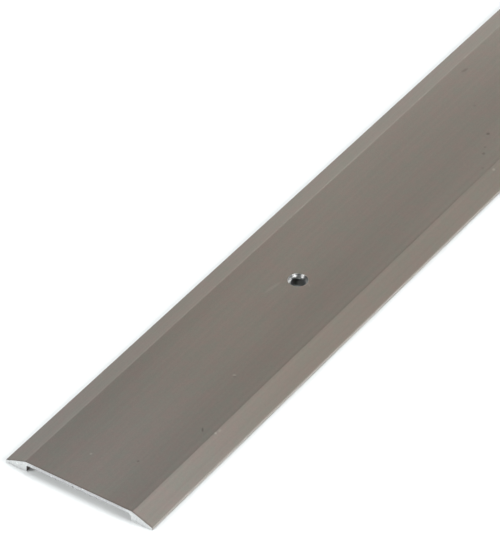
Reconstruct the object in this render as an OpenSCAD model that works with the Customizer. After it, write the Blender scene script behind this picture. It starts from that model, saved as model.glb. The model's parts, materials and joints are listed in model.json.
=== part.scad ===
// Flat threshold strip: one length of extruded aluminium profile, anodised, sawn to length and
// drilled for countersunk screws. It lies over the joint between two floors and is screwed down.
// +X runs along the strip, +Y across it and +Z up. The origin is on the floor, at mid-length
// and mid-width.

/* [Strip] */
// Length from one sawn end to the other
strip_length = 900; // [400:10:2700]
// Width from one outer edge to the other
strip_width = 40; // [30:1:80]
// Height of the flat tread above the floor
strip_height = 2.8; // [2.4:0.1:5]

/* [Profile] */
// Thickness of the plate between the tread and the recess
plate_thickness = 1; // [1:0.05:1.6]
// Level width of each bevel, from the outer edge to the tread
bevel_width = 5.4; // [3:0.1:9]
// Thickness of the blunt lip at each outer edge
lip_thickness = 0.7; // [0.6:0.05:1.2]
// Width of each foot on the floor, from the outer edge to the recess
foot_width = 5.8; // [4:0.1:10]

/* [Rounding] */
// Radius where each bevel meets the tread
knee_radius = 0.8; // [0.3:0.1:2]
// Radius of both corners of each lip
lip_radius = 0.2; // [0.1:0.05:0.25]
// Radius inside each top corner of the recess
recess_fillet = 0.4; // [0.2:0.05:0.5]
// Radius on the inner floor edge of each foot
foot_radius = 0.2; // [0.1:0.05:0.3]

/* [Screw holes] */
// Number of screw holes, all on the centre line
hole_count = 6; // [2:1:8]
// Distance from each sawn end to the middle of its nearest hole
end_margin = 87.5; // [30:0.5:140]
// Diameter of each through-hole
hole_d = 3.6; // [2.5:0.1:5]
// Width of the countersink all round the through-hole
sink_ring = 0.65; // [0.4:0.05:0.8]
// Included angle of the countersink
sink_angle = 90; // [90:5:120]

/* [Hidden] */
$fn = 96;

half_width = strip_width / 2;
tread_half = half_width - bevel_width;
recess_half = half_width - foot_width;
recess_height = strip_height - plate_thickness;
sink_depth = sink_ring / tan(sink_angle / 2);
hole_pitch = (strip_length - 2 * end_margin) / (hole_count - 1);
first_hole_x = end_margin - strip_length / 2;
// How far each cutter runs past the face that it cuts
overrun = 0.5;

anodised_colour = [0.50, 0.475, 0.45];

// The cross-section's sharp corners, anticlockwise from the left lip's floor corner.
left_lip_low = [-half_width, 0];
left_foot_inner = [-recess_half, 0];
left_recess_top = [-recess_half, recess_height];
right_recess_top = [recess_half, recess_height];
right_foot_inner = [recess_half, 0];
right_lip_low = [half_width, 0];
right_lip_top = [half_width, lip_thickness];
right_knee = [tread_half, strip_height];
left_knee = [-tread_half, strip_height];
left_lip_top = [-half_width, lip_thickness];

function unit(v) = v / norm(v);

// What lies between a sharp corner and an arc that is tangent to both of its sides. It is drawn
// along the corner's bisector, then turned and moved into place.
module corner_sliver(before, corner, after, radius) {
    towards_before = unit(before - corner);
    towards_after = unit(after - corner);
    bisector = towards_before + towards_after;
    half_angle = acos(towards_before * towards_after) / 2;
    tangent_length = radius / tan(half_angle);
    centre_distance = radius / sin(half_angle);
    tangent_x = tangent_length * cos(half_angle);
    tangent_y = tangent_length * sin(half_angle);
    translate(corner)
        rotate(atan2(bisector[1], bisector[0]))
            difference() {
                polygon([
                    [0, 0], [tangent_x, -tangent_y],
                    [centre_distance, 0], [tangent_x, tangent_y]
                ]);
                translate([centre_distance, 0]) circle(radius);
            }
}

// The corners that one side rounds off, drawn for the right-hand side.
module outer_slivers() {
    corner_sliver(right_recess_top, right_foot_inner, right_lip_low, foot_radius);
    corner_sliver(right_foot_inner, right_lip_low, right_lip_top, lip_radius);
    corner_sliver(right_lip_low, right_lip_top, right_knee, lip_radius);
    corner_sliver(right_lip_top, right_knee, left_knee, knee_radius);
}

module inner_sliver() {
    corner_sliver(left_recess_top, right_recess_top, right_foot_inner, recess_fillet);
}

// The cross-section: a thin plate on two solid feet, with a bevel down to a lip on each side.
module cross_section() {
    difference() {
        polygon([
            left_lip_low, left_foot_inner, left_recess_top,
            right_recess_top, right_foot_inner, right_lip_low,
            right_lip_top, right_knee, left_knee, left_lip_top
        ]);
        outer_slivers();
        mirror([1, 0]) outer_slivers();
    }
    inner_sliver();
    mirror([1, 0]) inner_sliver();
}

// A through-hole with its countersink, cut down from the tread.
module screw_hole() {
    cylinder(h = strip_height + overrun, d = hole_d);
    translate([0, 0, strip_height - sink_depth])
        cylinder(h = sink_depth, d1 = hole_d, d2 = hole_d + 2 * sink_ring);
    translate([0, 0, strip_height])
        cylinder(h = overrun, d = hole_d + 2 * sink_ring);
}

module threshold_profile() {
    color(anodised_colour)
        difference() {
            rotate([90, 0, 90])
                linear_extrude(height = strip_length, center = true)
                    cross_section();
            for (i = [0 : hole_count - 1])
                translate([first_hole_x + i * hole_pitch, 0, 0])
                    screw_hole();
        }
}

threshold_profile();
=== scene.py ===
"""Looks of the flat threshold strip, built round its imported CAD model."""
import json
import math

import bmesh
import bpy
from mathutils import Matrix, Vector, noise


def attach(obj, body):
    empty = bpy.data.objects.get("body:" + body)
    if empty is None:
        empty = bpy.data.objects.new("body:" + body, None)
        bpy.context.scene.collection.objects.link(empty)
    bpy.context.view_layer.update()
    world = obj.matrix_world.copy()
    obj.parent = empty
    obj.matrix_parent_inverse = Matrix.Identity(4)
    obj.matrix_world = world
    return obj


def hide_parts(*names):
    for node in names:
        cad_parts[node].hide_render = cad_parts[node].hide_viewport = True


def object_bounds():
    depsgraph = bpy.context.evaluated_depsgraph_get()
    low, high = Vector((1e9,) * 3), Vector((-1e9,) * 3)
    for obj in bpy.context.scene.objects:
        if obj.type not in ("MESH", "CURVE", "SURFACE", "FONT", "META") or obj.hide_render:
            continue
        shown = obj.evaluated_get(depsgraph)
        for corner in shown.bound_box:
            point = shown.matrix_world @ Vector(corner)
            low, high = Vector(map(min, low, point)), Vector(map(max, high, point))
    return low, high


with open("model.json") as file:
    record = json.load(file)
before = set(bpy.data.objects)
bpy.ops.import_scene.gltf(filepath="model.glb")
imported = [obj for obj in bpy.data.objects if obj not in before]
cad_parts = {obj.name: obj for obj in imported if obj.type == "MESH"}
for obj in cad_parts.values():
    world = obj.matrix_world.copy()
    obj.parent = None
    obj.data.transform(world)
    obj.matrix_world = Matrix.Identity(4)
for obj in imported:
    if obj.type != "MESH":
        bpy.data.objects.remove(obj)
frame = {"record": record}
cad_low, cad_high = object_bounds()

MM = 0.001
NODE = "threshold_profile"

# ---------------------------------------------------------------- sizes, in metres
mounts = {m["name"]: m for m in frame["record"]["mounts"]}
hole_patterns = [m for m in mounts.values() if m["kind"] == "bolt_pattern"]

near_end, far_end = cad_low.x, cad_high.x
half_width = cad_high.y
height = cad_high.z
recess_height = mounts["adhesive_face"]["pos_m"][2]
hole_radius = hole_patterns[0]["dims"]["hole_r_mm"] * MM
hole_places = sorted(
    side * m["dims"]["spacing_x_mm"] * MM / 2 for m in hole_patterns for side in (-1, 1)
)

# The sizes below aren't in the record, so they repeat part.scad's.
BEVEL_WIDTH = 5.4 * MM
FOOT_WIDTH = 5.8 * MM
LIP_THICKNESS = 0.7 * MM
KNEE_RADIUS = 0.8 * MM
LIP_RADIUS = 0.2 * MM
RECESS_FILLET = 0.4 * MM
FOOT_RADIUS = 0.2 * MM
SINK_RING = 0.65 * MM

# The sawn faces stand this far inside the CAD's ends, which leaves room for the burr.
BURR_ROOM = 0.12 * MM
# How far the sawn faces' outlines are set in, so that their edges are broken
EDGE_BREAK = 0.04 * MM
# The longest spur of the burr, and the size of its coarse and fine raggedness along the edge
BURR_REACH = 0.3 * MM
COARSE_BURR = 0.9 * MM
FINE_BURR = 0.35 * MM
# What share of a spur goes out from the face, what share goes down from the edge, and how much of
# that drop the skin's own edge follows
TOP_SPUR = (0.3, 0.35, 0.6)
LOW_SPUR = (0.8, 0.5, 1.0)

# Each hole's edges are broken by about this much.
HOLE_EDGE = 0.03 * MM
# How far a collar of round rings reaches out from the hole, on the tread and on the ceiling
COLLAR = 0.9 * MM
# Two rings on the cone, as shares of its width inwards and downwards: it is very slightly dished
CONE_RINGS = [(0.3, 0.32), (0.6, 0.61)]

# The square patch of tread and ceiling round each hole, and the steps along each of its sides
PATCH_HALF = 4.0 * MM
PATCH_STEPS = 24
# Steps round each rounded corner of the outline
KNEE_STEPS = 6
LIP_STEPS = 4
FILLET_STEPS = 5
FOOT_STEPS = 3
# Steps on each straight stretch of the outline, with those beside the patches first
OUTER_STEPS = 24
BEVEL_STEPS = 10
RECESS_WALL_STEPS = 2
FOOT_FACE_STEPS = 6
# Steps along the strip between one patch and the next
STRETCH_STEPS = 4
# Where the outline is repeated near each end, in from the CAD's end
END_STATIONS = [BURR_ROOM + EDGE_BREAK, BURR_ROOM + 0.5 * MM, BURR_ROOM + 3.0 * MM]

# Edges that turn by more than this are shaded sharp.
SHARP_ANGLE = math.radians(35)
# The strip's materials: anodised skin, sawn face, and turned countersink with its drilled hole
SKIN, SAWN, SUNK = 0, 1, 2


# ---------------------------------------------------------------- the strip's mesh
def between(a, b, steps):
    """The points from a to b in equal steps, without b."""
    return [a + (b - a) * i / steps for i in range(steps)]


def arc(before, corner, after, radius, steps):
    """The points of the arc that rounds a corner off, with both of its ends."""
    to_before = (before - corner).normalized()
    to_after = (after - corner).normalized()
    half_angle = to_before.angle(to_after) / 2
    bisector = (to_before + to_after).normalized()
    centre = corner + bisector * radius / math.sin(half_angle)
    reach = radius / math.tan(half_angle)
    start = corner + to_before * reach - centre
    end = corner + to_after * reach - centre
    sweep = start.angle(end)
    points = []
    for i in range(steps + 1):
        share = i / steps
        mixed = start * math.sin((1 - share) * sweep) + end * math.sin(share * sweep)
        points.append(centre + mixed / math.sin(sweep))
    return points


def across(edge_y, level):
    """The tread's or the ceiling's points from -edge_y to edge_y, which match the patches."""
    ys = between(-edge_y, -PATCH_HALF, OUTER_STEPS)
    ys += between(-PATCH_HALF, PATCH_HALF, PATCH_STEPS)
    ys += between(PATCH_HALF, edge_y, OUTER_STEPS) + [edge_y]
    return [Vector((y, level)) for y in ys]


def flipped(points):
    """The same points on the other side of the centre line, in the opposite order."""
    return [Vector((-p.x, p.y)) for p in reversed(points)]


def top_chain():
    """Over the strip from the left lip's face to the right one's, as (y, z)."""
    lip_low = Vector((half_width, 0))
    lip_top = Vector((half_width, LIP_THICKNESS))
    knee = Vector((half_width - BEVEL_WIDTH, height))
    middle = Vector((0, height))
    knee_arc = arc(middle, knee, lip_top, KNEE_RADIUS, KNEE_STEPS)
    lip_arc = arc(knee, lip_top, lip_low, LIP_RADIUS, LIP_STEPS)
    side = knee_arc[1:-1] + between(knee_arc[-1], lip_arc[0], BEVEL_STEPS) + lip_arc
    return flipped(side) + across(knee_arc[0].x, height) + side


def bottom_chain():
    """Under the strip from the left lip's face to the right one's, as (y, z)."""
    recess_edge = half_width - FOOT_WIDTH
    lip_top = Vector((half_width, LIP_THICKNESS))
    lip_low = Vector((half_width, 0))
    foot_inner = Vector((recess_edge, 0))
    recess_top = Vector((recess_edge, recess_height))
    middle = Vector((0, recess_height))
    fillet = arc(middle, recess_top, foot_inner, RECESS_FILLET, FILLET_STEPS)
    foot_arc = arc(recess_top, foot_inner, lip_low, FOOT_RADIUS, FOOT_STEPS)
    lip_arc = arc(foot_inner, lip_low, lip_top, LIP_RADIUS, LIP_STEPS)
    side = fillet[1:-1] + between(fillet[-1], foot_arc[0], RECESS_WALL_STEPS)
    side += foot_arc[:-1] + between(foot_arc[-1], lip_arc[0], FOOT_FACE_STEPS) + lip_arc
    return flipped(side) + across(fillet[0].x, recess_height) + side


def inset(ring, depth):
    """A closed outline moved inwards, which turns it clockwise seen from +X."""
    moved = []
    for i, point in enumerate(ring):
        along = ring[(i + 1) % len(ring)] - ring[i - 1]
        outward = Vector((-along.y, along.x)).normalized()
        moved.append(point - outward * depth)
    return moved


def burr(y, seed):
    """How far a sawn edge is ragged at y: mostly nothing, with a few short spurs."""
    value = noise.noise(Vector((y / COARSE_BURR, seed, 0.5)))
    value += 0.5 * noise.noise(Vector((y / FINE_BURR, seed, 4.5)))
    smooth_below = 0.25
    return BURR_REACH * max(0.0, value - smooth_below)


def x_stations():
    """The places along the strip, from end to end, with each patch's own steps."""
    stations = [near_end + x for x in END_STATIONS]
    for place in hole_places:
        stations += between(stations[-1], place - PATCH_HALF, STRETCH_STEPS)[1:]
        stations += between(place - PATCH_HALF, place + PATCH_HALF, PATCH_STEPS)
        stations.append(place + PATCH_HALF)
    stations += between(stations[-1], far_end - END_STATIONS[-1], STRETCH_STEPS)[1:]
    return stations + [far_end - x for x in reversed(END_STATIONS)]


def middle_band(start, chain):
    """The outline's indices that cross the patches, for a chain that starts at index start."""
    middle = start + len(chain) // 2
    return list(range(middle - PATCH_STEPS // 2, middle + PATCH_STEPS // 2 + 1))


def patch_border(grid, first_x, band):
    """A patch's border vertices, anticlockwise seen from above, from its +X +Y corner."""
    low, high = band[0], band[-1]
    columns = [grid[first_x + i] for i in range(PATCH_STEPS + 1)]
    rows = band if columns[0][low].co.y < columns[0][high].co.y else band[::-1]
    border = [column[rows[-1]] for column in reversed(columns[1:])]
    border += [columns[0][row] for row in reversed(rows[1:])]
    border += [column[rows[0]] for column in columns[:-1]]
    return border + [columns[-1][row] for row in rows[:-1]]


def hole_rings():
    """The countersunk hole's wall from the tread to the ceiling, as (radius, z)."""
    rim = hole_radius + SINK_RING
    sink_bottom = height - SINK_RING
    slope = HOLE_EDGE * math.sqrt(0.5)
    cone = [(rim - x * SINK_RING, height - z * SINK_RING) for x, z in CONE_RINGS]
    return [
        (rim + COLLAR, height),
        (rim + 2 * HOLE_EDGE, height),
        (rim, height),
        (rim - 0.5 * HOLE_EDGE, height - 0.3 * HOLE_EDGE),
        (rim - 1.5 * HOLE_EDGE, height - 1.3 * HOLE_EDGE),
        *cone,
        (hole_radius + slope, sink_bottom + slope),
        (hole_radius, sink_bottom - 0.4 * HOLE_EDGE),
        (hole_radius, recess_height + 2 * HOLE_EDGE),
        (hole_radius, recess_height + HOLE_EDGE),
        (hole_radius + HOLE_EDGE, recess_height),
        (hole_radius + 3 * HOLE_EDGE, recess_height),
        (hole_radius + COLLAR, recess_height),
    ]


def ring_points(place, radius, z, count):
    """A hole's ring of points, anticlockwise seen from above, from its +X +Y side."""
    for i in range(count):
        angle = math.tau * (i / count + 1 / 8)
        yield Vector((place + radius * math.cos(angle), radius * math.sin(angle), z))


def join_rings(bm, outer, inner, material):
    """Quads between two closed rings of vertices."""
    count = len(outer)
    for i in range(count):
        j = (i + 1) % count
        face = bm.faces.new((outer[i], outer[j], inner[j], inner[i]))
        face.material_index = material


def make_hole(bm, unrolled, grid, first_x, tread_band, ceiling_band, place):
    """The patches round one hole and the wall through it."""
    top = patch_border(grid, first_x, tread_band)
    bottom = patch_border(grid, first_x, ceiling_band)
    rings = hole_rings()
    # The first three rings and the last three are on the tread and the ceiling.
    wall_start, wall_end = 3, len(rings) - 3
    made = []
    depth = 0.0
    for i, (radius, z) in enumerate(rings):
        if i > wall_start:
            depth += math.dist(rings[i - 1], rings[i])
        made.append([bm.verts.new(p) for p in ring_points(place, radius, z, len(top))])
        for vert in made[-1]:
            vert[unrolled] = rings[wall_start][0] - depth
    middle_top = [bm.verts.new(v.co.lerp(w.co, 0.5)) for v, w in zip(top, made[0])]
    middle_low = [bm.verts.new(v.co.lerp(w.co, 0.5)) for v, w in zip(bottom, made[-1])]
    join_rings(bm, top, middle_top, SKIN)
    join_rings(bm, middle_top, made[0], SKIN)
    for i in range(len(rings) - 1):
        on_wall = wall_start <= i < wall_end
        join_rings(bm, made[i], made[i + 1], SUNK if on_wall else SKIN)
    join_rings(bm, made[-1], middle_low, SKIN)
    join_rings(bm, middle_low, bottom, SKIN)


def make_cap(bm, ring, top_count, x, side):
    """A sawn face: the ring's broken edge, then quads from its top chain to its bottom one."""
    flat = [Vector((v.co.y, v.co.z)) for v in ring]
    inner = []
    for i, point in enumerate(inset(flat, EDGE_BREAK)):
        on_top = i < top_count
        out_share, drop_share, skin_share = TOP_SPUR if on_top else LOW_SPUR
        spur = burr(point.x, 3.0 * side + on_top)
        drop = spur * drop_share
        level = max(point.y - drop, EDGE_BREAK / 2)
        out = min(spur * out_share, BURR_ROOM)
        inner.append(bm.verts.new((x + side * out, point.x, level)))
        if ring[i].co.z > FOOT_RADIUS:
            ring[i].co.z -= drop * skin_share
    join_rings(bm, ring, inner, SAWN)
    top, bottom = inner[:top_count], inner[top_count:][::-1]
    for i in range(top_count - 1):
        face = bm.faces.new((top[i], top[i + 1], bottom[i + 1], bottom[i]))
        face.material_index = SAWN


def set_girths(bm, girth, grid, outline, top_count):
    """Each vertex's distance round the outline, and the outline's whole length."""
    steps = [(b - a).length for a, b in zip(outline, outline[1:] + outline[:1])]
    lengths = [sum(steps[:i]) for i in range(len(outline))]
    tread_middle = lengths[top_count // 2]
    ceiling_middle = lengths[top_count + (len(outline) - top_count) // 2]
    plate_middle = (height + recess_height) / 2
    for vert in bm.verts:
        on_top = vert.co.z > plate_middle
        vert[girth] = tread_middle + vert.co.y if on_top else ceiling_middle - vert.co.y
    for column in grid:
        for vert, length in zip(column, lengths):
            vert[girth] = length
    return tread_middle, sum(steps)


def lay_out(bm, girth, unrolled, tread_middle, total_girth):
    """A map for baking: a bay for each hole, two in a row, and both sawn faces above them."""
    uv = bm.loops.layers.uv.new("OFBake")
    gap = 2 * MM
    cap_scale = 3.0
    per_row = 2
    middles = [(a + b) / 2 for a, b in zip(hole_places, hole_places[1:])]
    starts = [near_end] + middles
    column_width = max(b - a for a, b in zip(starts, middles + [far_end])) + gap
    row_height = total_girth + gap
    caps_from = row_height * math.ceil(len(hole_places) / per_row)
    for face in bm.faces:
        centre = face.calc_center_median()
        bay = sum(centre.x > middle for middle in middles)
        column, row = bay % per_row, bay // per_row
        corner = Vector((column_width * column - starts[bay], row_height * row))
        low = min(loop.vert[girth] for loop in face.loops)
        high = max(loop.vert[girth] for loop in face.loops)
        for loop in face.loops:
            vert = loop.vert
            if face.material_index == SAWN:
                cap_from = column_width if centre.x > 0 else 0.0
                spot = Vector((cap_from + (half_width + vert.co.y) * cap_scale, caps_from))
                spot.y += vert.co.z * cap_scale
            elif face.material_index == SUNK:
                middle = Vector((hole_places[bay], 0))
                out = (vert.co.xy - middle).normalized() * vert[unrolled]
                spot = corner + middle + out + Vector((0, tread_middle))
            else:
                wrapped = high - low > total_girth / 2 and vert[girth] < total_girth / 2
                along = vert[girth] + (total_girth if wrapped else 0.0)
                spot = corner + Vector((vert.co.x, along))
            loop[uv].uv = (spot + Vector((gap, gap)) / 2) / (per_row * column_width)


def make_strip():
    """The whole strip as one closed mesh of quads."""
    top, bottom = top_chain(), bottom_chain()
    outline = top + bottom[::-1]
    bm = bmesh.new()
    girth = bm.verts.layers.float.new("girth")
    unrolled = bm.verts.layers.float.new("unrolled")
    grid = [[bm.verts.new((x, p.x, p.y)) for p in outline] for x in x_stations()]

    count = len(outline)
    tread_band = middle_band(0, top)
    ceiling_band = middle_band(len(top), bottom)
    in_band = set(tread_band[:-1]) | set(ceiling_band[:-1])
    holed = set()
    for place in hole_places:
        offsets = [abs(column[0].co.x - place + PATCH_HALF) for column in grid]
        first_x = offsets.index(min(offsets))
        holed.update(range(first_x, first_x + PATCH_STEPS))
        make_hole(bm, unrolled, grid, first_x, tread_band, ceiling_band, place)
    for i in range(len(grid) - 1):
        for j in range(count):
            if i in holed and j in in_band:
                continue
            k = (j + 1) % count
            bm.faces.new((grid[i][j], grid[i][k], grid[i + 1][k], grid[i + 1][j]))
    tread_middle, total_girth = set_girths(bm, girth, grid, outline, len(top))
    make_cap(bm, grid[0], len(top), near_end + BURR_ROOM, -1)
    make_cap(bm, grid[-1], len(top), far_end - BURR_ROOM, 1)

    bmesh.ops.recalc_face_normals(bm, faces=bm.faces)
    lay_out(bm, girth, unrolled, tread_middle, total_girth)
    mesh = bpy.data.meshes.new("strip")
    bm.to_mesh(mesh)
    bm.free()
    mesh.shade_smooth()
    mesh.set_sharp_from_angle(angle=SHARP_ANGLE)
    strip = bpy.data.objects.new("strip", mesh)
    bpy.context.collection.objects.link(strip)
    return strip


# ---------------------------------------------------------------- materials
class Tree:
    """A material's nodes, added and linked in one call each."""

    def __init__(self, name):
        self.material = bpy.data.materials.new(name)
        self.material.use_nodes = True
        self.nodes = self.material.node_tree.nodes
        self.links = self.material.node_tree.links
        self.shader = self.nodes["Principled BSDF"]
        place = self.add("ShaderNodeTexCoord").outputs["Object"]
        self.place = self.vector("SCALE", place, scale=1000.0)

    def add(self, kind, inputs=None, **settings):
        node = self.nodes.new(kind)
        for key, value in settings.items():
            setattr(node, key, value)
        for key, value in (inputs or {}).items():
            self.put(value, node.inputs[key])
        return node

    def put(self, value, socket):
        if isinstance(value, bpy.types.NodeSocket):
            self.links.new(value, socket)
        else:
            socket.default_value = value

    def vector(self, operation, a, b=None, scale=None):
        node = self.add("ShaderNodeVectorMath", {0: a}, operation=operation)
        if b is not None:
            self.put(b, node.inputs[1])
        if scale is not None:
            self.put(scale, node.inputs["Scale"])
        return node.outputs["Value" if operation == "LENGTH" else "Vector"]

    def math(self, operation, a, b=0.0):
        node = self.add("ShaderNodeMath", {0: a, 1: b}, operation=operation)
        return node.outputs[0]

    def ramp(self, value, low, high, out_low=0.0, out_high=1.0):
        """value from low..high to out_low..out_high, held at both ends."""
        node = self.add(
            "ShaderNodeMapRange",
            {
                "Value": value,
                "From Min": low,
                "From Max": high,
                "To Min": out_low,
                "To Max": out_high,
            },
            interpolation_type="SMOOTHSTEP",
        )
        return node.outputs["Result"]

    def noise(self, stretch, detail=2.0, roughness=0.5, offset=(0.0, 0.0, 0.0)):
        """Noise with a frequency a millimetre along each axis."""
        mapped = self.add(
            "ShaderNodeMapping", {"Vector": self.place, "Scale": stretch, "Location": offset}
        )
        node = self.add(
            "ShaderNodeTexNoise",
            {
                "Vector": mapped.outputs["Vector"],
                "Scale": 1.0,
                "Detail": detail,
                "Roughness": roughness,
            },
        )
        return node.outputs["Fac"]

    def mix(self, share, a, b):
        node = self.add("ShaderNodeMix", data_type="RGBA")
        self.put(share, node.inputs["Factor"])
        self.put(a, node.inputs["A"])
        self.put(b, node.inputs["B"])
        return node.outputs["Result"]

    def bump(self, height_value, distance, strength, normal=None):
        node = self.add(
            "ShaderNodeBump",
            {"Height": height_value, "Distance": distance, "Strength": strength},
        )
        if normal is not None:
            self.put(normal, node.inputs["Normal"])
        return node.outputs["Normal"]

    def axis(self, name):
        """One coordinate in millimetres, on the strip's own axes."""
        split = self.add("ShaderNodeSeparateXYZ", {"Vector": self.place})
        return split.outputs[name]

    def spot(self, middle, halves, turn=0.0):
        """1 in the middle of a small oval mark and 0 outside it; places are in millimetres."""
        mapped = self.add(
            "ShaderNodeMapping",
            {
                "Vector": self.vector("SUBTRACT", self.place, middle),
                "Rotation": (0.0, 0.0, math.radians(-turn)),
            },
        )
        squashed = self.vector("DIVIDE", mapped.outputs[0], halves)
        core, fade_end = 0.4, 1.1
        return self.ramp(self.vector("LENGTH", squashed), core, fade_end, 1.0, 0.0)

    def finish(self, **inputs):
        for key, value in inputs.items():
            self.put(value, self.shader.inputs[key.replace("_", " ")])
        return self.material


# Half a mark's extent along an axis that it isn't limited on, in millimetres
THROUGH = 1e6

# Small marks on the skin: millimetres from the near end and from the centre line, half the length
# and half the width of each, its turn in degrees, and how much darker (below 0) or lighter it is
MARKS = [
    (180.8, 11.8, 1.50, 0.50, -8, -0.30),
    (169.5, 1.9, 0.60, 0.50, 0, -0.16),
    (161.4, -7.0, 0.66, 0.54, 0, -0.50),
    (156.3, -9.2, 0.46, 0.38, 0, -0.30),
    (153.9, -10.3, 0.58, 0.48, 0, -0.38),
    (148.8, -13.2, 0.50, 0.42, 0, -0.22),
    (150.2, -15.5, 0.56, 0.42, 0, 0.30),
    (50.7, -7.1, 0.52, 0.26, -55, 0.42),
    (50.2, -7.5, 0.52, 0.26, -55, -0.22),
    (31.1, -11.9, 0.90, 0.30, 35, -0.50),
    (31.9, -14.9, 0.46, 0.34, 0, 0.36),
    (33.2, -15.1, 0.60, 0.30, 0, 0.22),
    (10.5, 4.0, 0.44, 0.36, 0, 0.34),
    (14.4, -6.1, 0.42, 0.36, 0, -0.40),
    (81.75, 3.4, 3.30, 0.60, -8.7, 0.12),
    (87.6, -2.9, 1.20, 0.30, 55, 0.18),
]


def anodised():
    """Matt warm-grey anodised skin, with the die's and the brush's lines along the strip."""
    t = Tree("anodised_aluminium")
    die_lines = t.noise((0.0006, 1.6, 1.6), 3.0, 0.6, offset=(0.0, 3.37, 1.83))
    brush = t.noise((0.02, 9.0, 9.0), 2.0, 0.65, offset=(5.3, 0.71, 2.29))
    clouds = t.noise((0.012, 0.05, 0.05), 2.0, offset=(1.7, 0.43, 7.77))
    grain = t.noise((3.0, 5.0, 5.0), 1.0, offset=(0.3, 0.9, 0.6))
    tint = t.noise((0.14, 0.22, 0.22), 2.0, 0.6, offset=(2.1, 6.13, 3.49))
    fine_tint = t.noise((0.8, 1.1, 1.1), 1.0, offset=(8.1, 2.57, 5.31))

    tone = t.ramp(die_lines, 0.25, 0.75, -0.32, 0.32)
    tone = t.math("ADD", tone, t.ramp(brush, 0.25, 0.75, -0.34, 0.34))
    tone = t.math("ADD", tone, t.ramp(clouds, 0.3, 0.7, -0.4, 0.4))
    tone = t.math("ADD", tone, t.ramp(grain, 0.3, 0.7, -0.40, 0.40))
    share = t.ramp(tone, -1.7, 1.7)
    colour = t.mix(share, (0.194, 0.171, 0.147, 1.0), (0.240, 0.212, 0.182, 1.0))

    hue = t.math("ADD", t.ramp(tint, 0.3, 0.7, 0.0, 0.5), t.ramp(fine_tint, 0.3, 0.7, 0.0, 0.5))
    shifted = t.mix(hue, (1.055, 0.976, 0.988, 1.0), (0.945, 1.024, 1.0, 1.0))
    colour = t.vector("MULTIPLY", colour, shifted)

    # The anodising is a little cooler towards the sawn ends.
    from_middle = t.math("ABSOLUTE", t.axis("X"))
    cool = t.ramp(from_middle, far_end / MM - 70.0, far_end / MM - 5.0)
    cooled = t.mix(cool, (1.0, 1.0, 1.0, 1.0), (0.99, 1.02, 1.07, 1.0))
    colour = t.vector("MULTIPLY", colour, cooled)

    for x, y, half_long, half_wide, turn, change in MARKS:
        middle = (near_end / MM + x, y, 0.0)
        mark = t.spot(middle, (half_long, half_wide, THROUGH), turn)
        towards = (0.06, 0.05, 0.045, 1.0) if change < 0 else (0.42, 0.40, 0.37, 1.0)
        colour = t.mix(t.math("MULTIPLY", mark, abs(change)), colour, towards)

    # Both lips are painted pale: a painted reflection of the bright floor that their thin faces
    # catch.
    from_centre = t.math("ABSOLUTE", t.axis("Y"))
    lip = half_width / MM
    lip_painted_reflection = t.ramp(from_centre, lip - 0.16, lip)
    colour = t.mix(lip_painted_reflection, colour, (0.62, 0.57, 0.53, 1.0))

    # A thin dark line runs along the skin at each sawn end: partly the anodised layer's edge,
    # partly painted shade where the edge turns away from the light.
    cut_edge = (far_end - BURR_ROOM) / MM
    oxide_edge_and_shade = t.ramp(from_middle, cut_edge - 0.40, cut_edge - 0.12, 0.0, 0.50)
    colour = t.mix(oxide_edge_and_shade, colour, (0.055, 0.040, 0.030, 1.0))

    rough = t.ramp(brush, 0.2, 0.8, 0.40, 0.50)
    normal = t.bump(brush, 0.004 * MM, 0.6)
    normal = t.bump(grain, 0.002 * MM, 0.3, normal)
    return t.finish(
        Base_Color=colour,
        Metallic=1.0,
        Roughness=rough,
        Anisotropic=0.35,
        Anisotropic_Rotation=0.25,
        Normal=normal,
    )


# Torn places on the near sawn face, in millimetres: across, up, half the width, half the height,
# and how much darker (below 0) or lighter each is
NICKS = [
    (7.3, 1.95, 0.32, 0.20, 0.9),
    (6.2, 2.05, 0.22, 0.16, -0.35),
    (1.4, 2.05, 0.28, 0.22, -0.85),
    (-1.3, 2.62, 0.30, 0.16, 0.9),
    (-5.0, 1.95, 0.24, 0.16, -0.45),
    (-15.6, 0.55, 0.40, 0.16, -0.30),
    (16.8, 1.25, 0.50, 0.18, 0.45),
]


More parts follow.
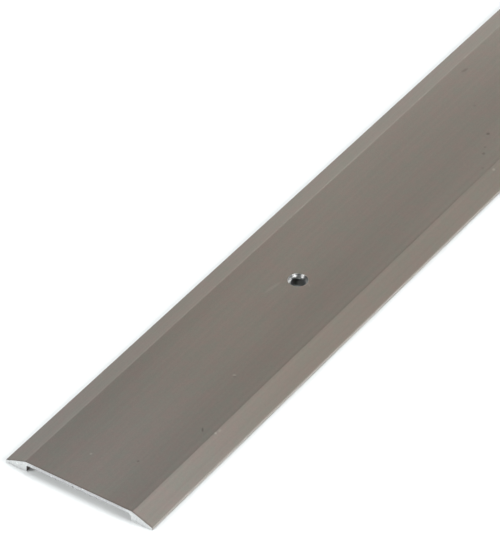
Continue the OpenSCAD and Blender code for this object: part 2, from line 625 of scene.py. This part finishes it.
def sawn():
    """Bright sawn aluminium at both ends, with the saw's strokes and a few torn specks."""
    t = Tree("sawn_aluminium")
    strokes = t.noise((0.5, 5.0, 1.4), 2.0, 0.6, offset=(0.4, 2.2, 0.8))
    specks = t.noise((2.0, 2.2, 2.6), 2.0, 0.5, offset=(3.4, 1.2, 6.8))
    colour = t.mix(t.ramp(strokes, 0.3, 0.7), (0.552, 0.54, 0.545, 1.0), (0.662, 0.644, 0.65, 1.0))
    colour = t.mix(t.ramp(specks, 0.60, 0.72, 0.0, 0.55), colour, (0.35, 0.36, 0.37, 1.0))
    for y, z, half_wide, half_high, change in NICKS:
        nick = t.spot((near_end / MM, y, z), (1.0, half_wide, half_high))
        towards = (0.16, 0.16, 0.165, 1.0) if change < 0 else (0.97, 0.98, 0.98, 1.0)
        colour = t.mix(t.math("MULTIPLY", nick, abs(change)), colour, towards)

    # The plate's lower edge between the feet is painted darker: painted shade where the broken
    # edge turns from the light.
    recess_edge = (half_width - FOOT_WIDTH) / MM
    ceiling = recess_height / MM
    from_centre = t.math("ABSOLUTE", t.axis("Y"))
    on_plate = t.ramp(from_centre, recess_edge - 0.5, recess_edge, 1.0, 0.0)
    painted_lower_edge_shade = t.ramp(t.axis("Z"), ceiling, ceiling + 0.30, 0.60, 0.0)
    colour = t.mix(t.math("MULTIPLY", painted_lower_edge_shade, on_plate), colour, (0.20, 0.20, 0.205, 1.0))

    # The feet are painted brighter than the thin plate: painted light on the same sawn metal.
    on_foot = t.ramp(from_centre, recess_edge - 3.0, recess_edge + 0.5)
    painted_foot_light = t.mix(on_foot, (1.0, 1.02, 1.02, 1.0), (1.27, 1.31, 1.29, 1.0))
    colour = t.vector("MULTIPLY", colour, painted_foot_light)

    rough = t.ramp(strokes, 0.3, 0.7, 0.34, 0.46)
    normal = t.bump(strokes, 0.02 * MM, 0.5)
    return t.finish(Base_Color=colour, Metallic=1.0, Roughness=rough, Normal=normal)


def sunk():
    """Turned aluminium in the countersinks and the drilled holes below them."""
    t = Tree("turned_aluminium")
    pitch = (hole_places[1] - hole_places[0]) / MM
    along = t.math("SUBTRACT", t.axis("X"), hole_places[0] / MM - pitch / 2)
    along = t.math("SUBTRACT", t.math("FLOORED_MODULO", along, pitch), pitch / 2)
    outwards = t.add("ShaderNodeCombineXYZ", {"X": along, "Y": t.axis("Y")}).outputs[0]
    radius = t.vector("LENGTH", outwards)
    turned = t.add("ShaderNodeCombineXYZ", {"X": radius, "Y": t.axis("Z")}).outputs[0]
    rings = t.add("ShaderNodeTexNoise", {"Vector": turned, "Scale": 9.0, "Detail": 1.0})
    rings = rings.outputs["Fac"]
    stain = t.noise((1.3, 1.3, 1.3), 2.0, offset=(0.7, 3.1, 2.3))
    colour = t.mix(t.ramp(stain, 0.3, 0.7), (0.70, 0.71, 0.70, 1.0), (0.88, 0.89, 0.88, 1.0))
    rough = t.ramp(rings, 0.3, 0.7, 0.26, 0.36)
    normal = t.bump(rings, 0.006 * MM, 0.3)
    return t.finish(Base_Color=colour, Metallic=1.0, Roughness=rough, Normal=normal)


def white_floor():
    t = Tree("white_floor")
    return t.finish(Base_Color=(0.90, 0.93, 0.935, 1.0), Roughness=0.9, Specular_IOR_Level=0.1)


# ---------------------------------------------------------------- camera, light and floor
LENS_MM = 260.9
CAMERA_AZIMUTH = math.radians(-55.77)
CAMERA_ELEVATION = math.radians(38.81)
CAMERA_DISTANCE = 0.915
# The point on the floor that the camera looks at: in from the near end, and off the centre line
LOOK_AT = Vector((near_end + 88.2 * MM, 14.1 * MM, 0))


def direction(azimuth, elevation):
    """Towards something seen from the strip; azimuth 0 is along -Y and 90 degrees is +X."""
    flat = math.cos(elevation)
    return Vector((math.sin(azimuth) * flat, -math.cos(azimuth) * flat, math.sin(elevation)))


def make_camera():
    data = bpy.data.cameras.new("camera")
    data.lens = LENS_MM
    data.clip_start, data.clip_end = 0.01, 100.0
    camera = bpy.data.objects.new("camera", data)
    bpy.context.collection.objects.link(camera)
    back = direction(CAMERA_AZIMUTH, CAMERA_ELEVATION)
    camera.location = LOOK_AT + back * CAMERA_DISTANCE
    camera.rotation_mode = "QUATERNION"
    camera.rotation_quaternion = (-back).to_track_quat("-Z", "Y")
    bpy.context.scene.camera = camera


# The soft boxes: degrees round from the camera, degrees up, and watts. Small near ones light the
# strip, and large far ones wash the floor evenly white.
STRIP_BOXES = [
    (60, 62, 3.45),
    (90, 62, 1.5),
    (120, 34, 1.13),
    (150, 22, 0.97),
    (180, 22, 1.38),
    (210, 22, 0.96),
    (240, 62, 3.25),
    (300, 34, 0.8),
]
FLOOR_BOXES = [
    (60, 20, 350),
    (150, 20, 60),
    (180, 62, 98),
    (180, 80, 75),
    (285, 20, 339),
    (326, 20, 161),
]
# How far off the boxes stand and how wide they are, in metres
STRIP_BOX_DISTANCE, STRIP_BOX_WIDTH = 0.9, 0.4
FLOOR_BOX_DISTANCE, FLOOR_BOX_WIDTH = 6.0, 3.0
FLOOR_HALF = 15.0


def make_softbox(target, azimuth, elevation, distance, width, power):
    """A soft light on one object only, which points at the place that the camera looks at."""
    name = f"{target.name}_light_{azimuth}_{elevation}"
    data = bpy.data.lights.new(name, "AREA")
    data.shape = "SQUARE"
    data.size = width
    data.energy = power
    light = bpy.data.objects.new(name, data)
    bpy.context.collection.objects.link(light)
    way = direction(CAMERA_AZIMUTH + math.radians(azimuth), math.radians(elevation))
    light.location = LOOK_AT + way * distance
    light.rotation_mode = "QUATERNION"
    light.rotation_quaternion = way.to_track_quat("Z", "Y")
    light.visible_camera = False
    lit = bpy.data.collections.new(name)
    lit.objects.link(target)
    light.light_linking.receiver_collection = lit


def make_world():
    """A black world, so that the soft boxes are the only light."""
    world = bpy.data.worlds.new("studio")
    world.use_nodes = True
    world.node_tree.nodes["Background"].inputs["Strength"].default_value = 0.0
    bpy.context.scene.world = world


def make_floor():
    half = FLOOR_HALF
    mesh = bpy.data.meshes.new("floor")
    corners = [(-half, -half, 0), (half, -half, 0), (half, half, 0), (-half, half, 0)]
    mesh.from_pydata(corners, [], [(0, 1, 2, 3)])
    mesh.materials.append(white_floor())
    floor = bpy.data.objects.new("floor", mesh)
    bpy.context.collection.objects.link(floor)
    return floor


make_camera()
make_world()
floor = make_floor()
strip = make_strip()
strip.data.materials.append(anodised())
strip.data.materials.append(sawn())
strip.data.materials.append(sunk())
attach(strip, "root")
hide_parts(NODE)

for azimuth, elevation, power in STRIP_BOXES:
    make_softbox(strip, azimuth, elevation, STRIP_BOX_DISTANCE, STRIP_BOX_WIDTH, power)
for azimuth, elevation, power in FLOOR_BOXES:
    make_softbox(floor, azimuth, elevation, FLOOR_BOX_DISTANCE, FLOOR_BOX_WIDTH, power)
bpy.context.scene.view_settings.view_transform = "Standard"
